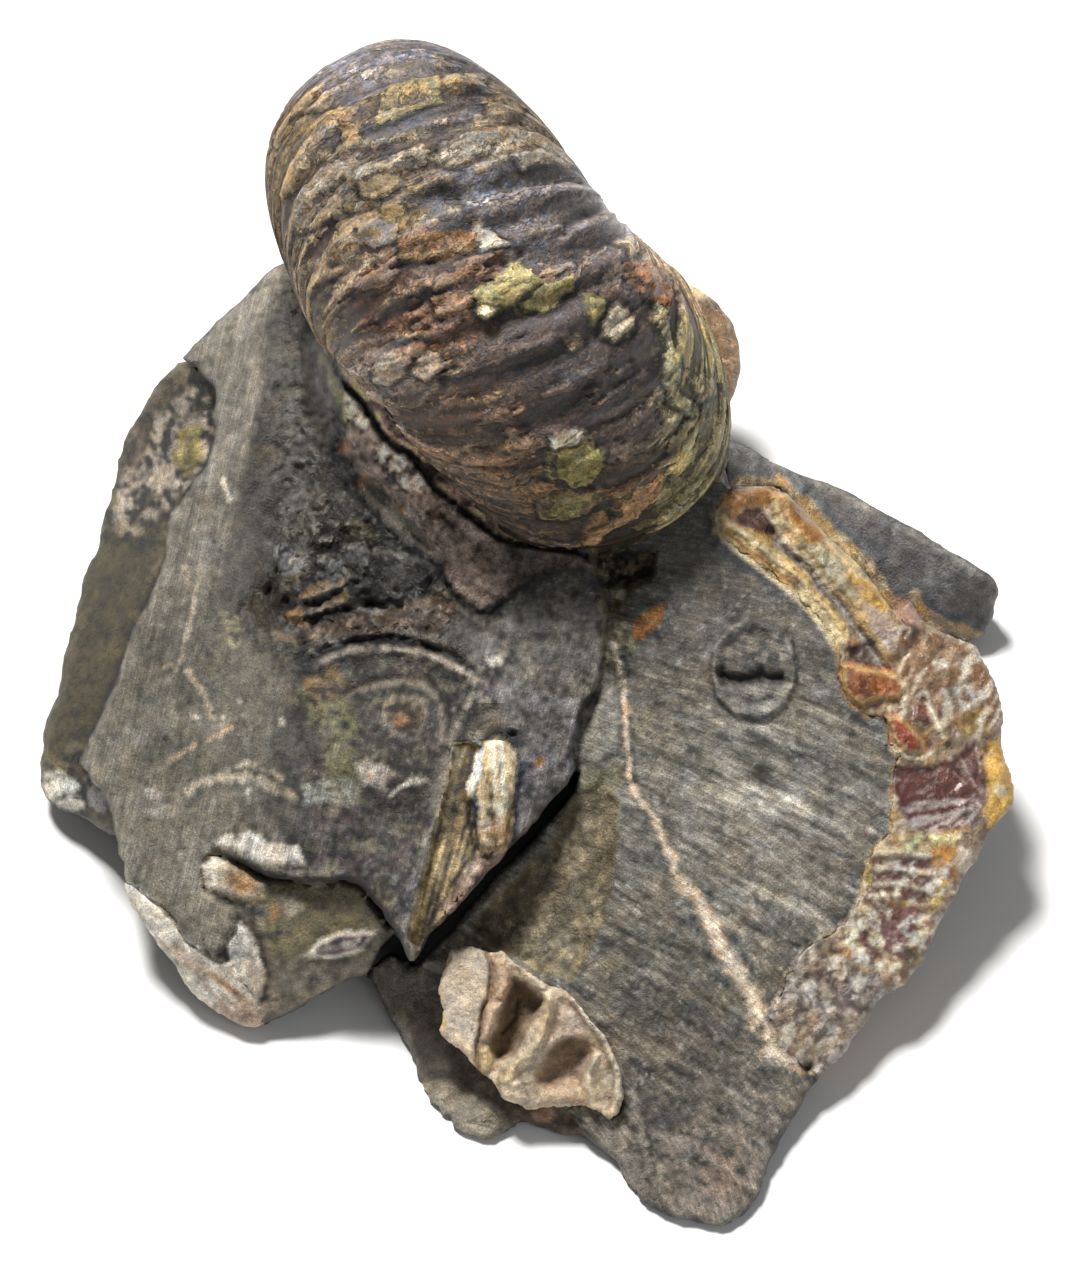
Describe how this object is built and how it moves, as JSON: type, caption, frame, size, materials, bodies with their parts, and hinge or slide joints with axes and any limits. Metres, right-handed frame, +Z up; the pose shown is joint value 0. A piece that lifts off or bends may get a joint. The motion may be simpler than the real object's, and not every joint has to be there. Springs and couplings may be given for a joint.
{
  "type": "ammonite fossil",
  "caption": "Cluster of ammonites in a dark limestone concretion: a large inflated ribbed coil standing out of a broken block with cut and broken shell around it.",
  "frame": {"origin": "middle of the bounding box in plan, on the ground under the flat underside", "axes": "+Z up, away from the flat underside; -Y towards the low foot of the block's sloping broken face; +X to the right seen from there"},
  "size_m": [0.099, 0.1086, 0.071],
  "materials": {
    "grey_limestone": "fine-grained dark grey-green limestone, ground and scratched on its flat faces, rough where broken",
    "brown_shell": "flaking brown and buff shell over a purple-grey inner mould, low sheen",
    "tan_shell": "tan-brown weathered shell",
    "amber_calcite": "amber, maroon and cream crystalline calcite, polished where cut",
    "cream_shell": "chalky cream shell with open chambers",
    "fibrous_calcite": "fibrous honey-coloured calcite",
    "pale_shell": "pale pinkish-cream shell layers"
  },
  "bodies": {
    "root": {"matrix": "grey_limestone", "ammonite": "brown_shell", "small_ammonite": "tan_shell", "calcite_rim": "amber_calcite", "chambered_shell": "cream_shell", "shell_splinter": "fibrous_calcite", "shell_band": "pale_shell"}
  },
  "joints": []
}
